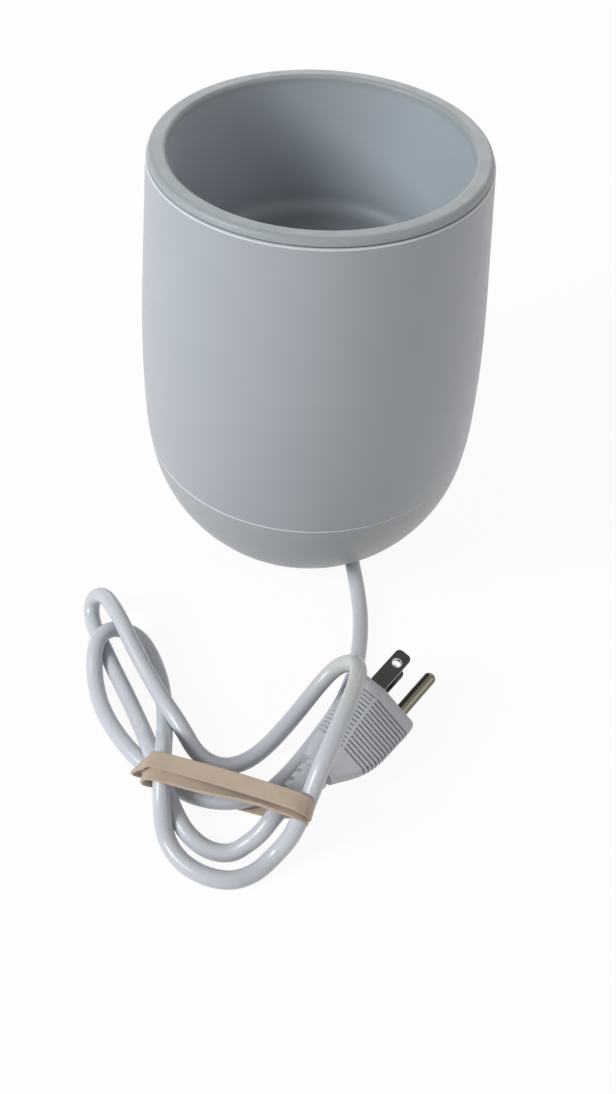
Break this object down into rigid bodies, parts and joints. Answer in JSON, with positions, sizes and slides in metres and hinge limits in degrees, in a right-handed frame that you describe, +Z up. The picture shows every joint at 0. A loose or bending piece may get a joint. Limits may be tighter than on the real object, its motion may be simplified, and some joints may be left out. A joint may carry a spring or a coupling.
{
  "type": "wax warmer pot",
  "caption": "Electric wax warmer: tapered casing on a bowl-shaped base, lift-out inner pot, control knob and a banded mains lead with earthed plug.",
  "frame": {"origin": "centre of the resting plane, on the pot's axis", "axes": "+Z up along the pot's axis, +Y towards the control knob, -Y towards the side where the mains lead comes out"},
  "size_m": [0.1522, 0.2484, 0.17],
  "materials": {
    "casing": "satin moulded plastic, cool grey",
    "base_cap": "satin moulded plastic, cool grey",
    "pot_coating": "matt non-stick coating, blue-grey",
    "aluminium": "pressed, matt",
    "mica": "mica laminate",
    "plated_steel": "zinc plated",
    "fasteners": "zinc plated",
    "brass": "turned",
    "copper": "drawn copper",
    "feet": "moulded rubber",
    "dark_plastic": "thermoset",
    "terminal_plastic": "nylon",
    "dial": "printed disc",
    "knob": "satin moulded plastic",
    "lens": "tinted clear plastic",
    "lamp_glass": "clear glass",
    "wire_live": "silicone sleeve",
    "wire_neutral": "silicone sleeve",
    "wire_earth": "silicone sleeve",
    "cord": "satin PVC",
    "plug": "moulded PVC",
    "plug_metal": "nickel plated",
    "rubber_band": "natural rubber"
  },
  "bodies": {
    "base": {"heater_well": "aluminium", "heater_disc": "mica", "pressure_plate": "plated_steel", "stud_nuts": "fasteners", "stud_spacer": "plated_steel", "retaining_bridge": "plated_steel", "bridge_screws": "fasteners", "casing": "casing", "base_cap": "base_cap", "base_screws": "fasteners", "rubber_feet": "feet", "thermostat_body": "dark_plastic", "thermostat_screws": "fasteners", "dial_plate": "dial", "indicator_lens": "lens", "lens_nut": "plated_steel", "neon_lamp": "lamp_glass", "sensing_bulb": "copper", "bulb_clip": "plated_steel", "thermal_fuse": "plated_steel", "fuse_clip": "plated_steel", "earth_tag": "brass", "live_wires": "wire_live", "neutral_wires": "wire_neutral", "earth_wire": "wire_earth", "lamp_wires": "wire_neutral", "terminal_block": "terminal_plastic", "terminal_screws": "brass", "cord_clamp": "terminal_plastic", "clamp_screws": "fasteners", "cord_end": "cord", "cord_bush": "cord", "plug_body": "plug", "plug_blades": "plug_metal", "ground_pin": "plug_metal", "plug_boot": "plug", "rubber_band": "rubber_band", "cord_hank": "cord", "cord_lead": "cord", "cord_loop": "cord", "cord_tail": "cord"},
    "pot": {"inner_pot": "pot_coating"},
    "knob": {"thermostat_shaft": "brass", "knob": "knob"}
  },
  "joints": [
    {"name": "pot_lift", "type": "slide", "parent": "base", "child": "pot", "axis": [0, 0, 1], "range_m": [0, 0.06]},
    {"name": "knob_turn", "type": "hinge", "parent": "base", "child": "knob", "pos_m": [0, 0.057, 0.084], "axis": [0, 1, 0], "range_deg": [0, 270]}
  ]
}
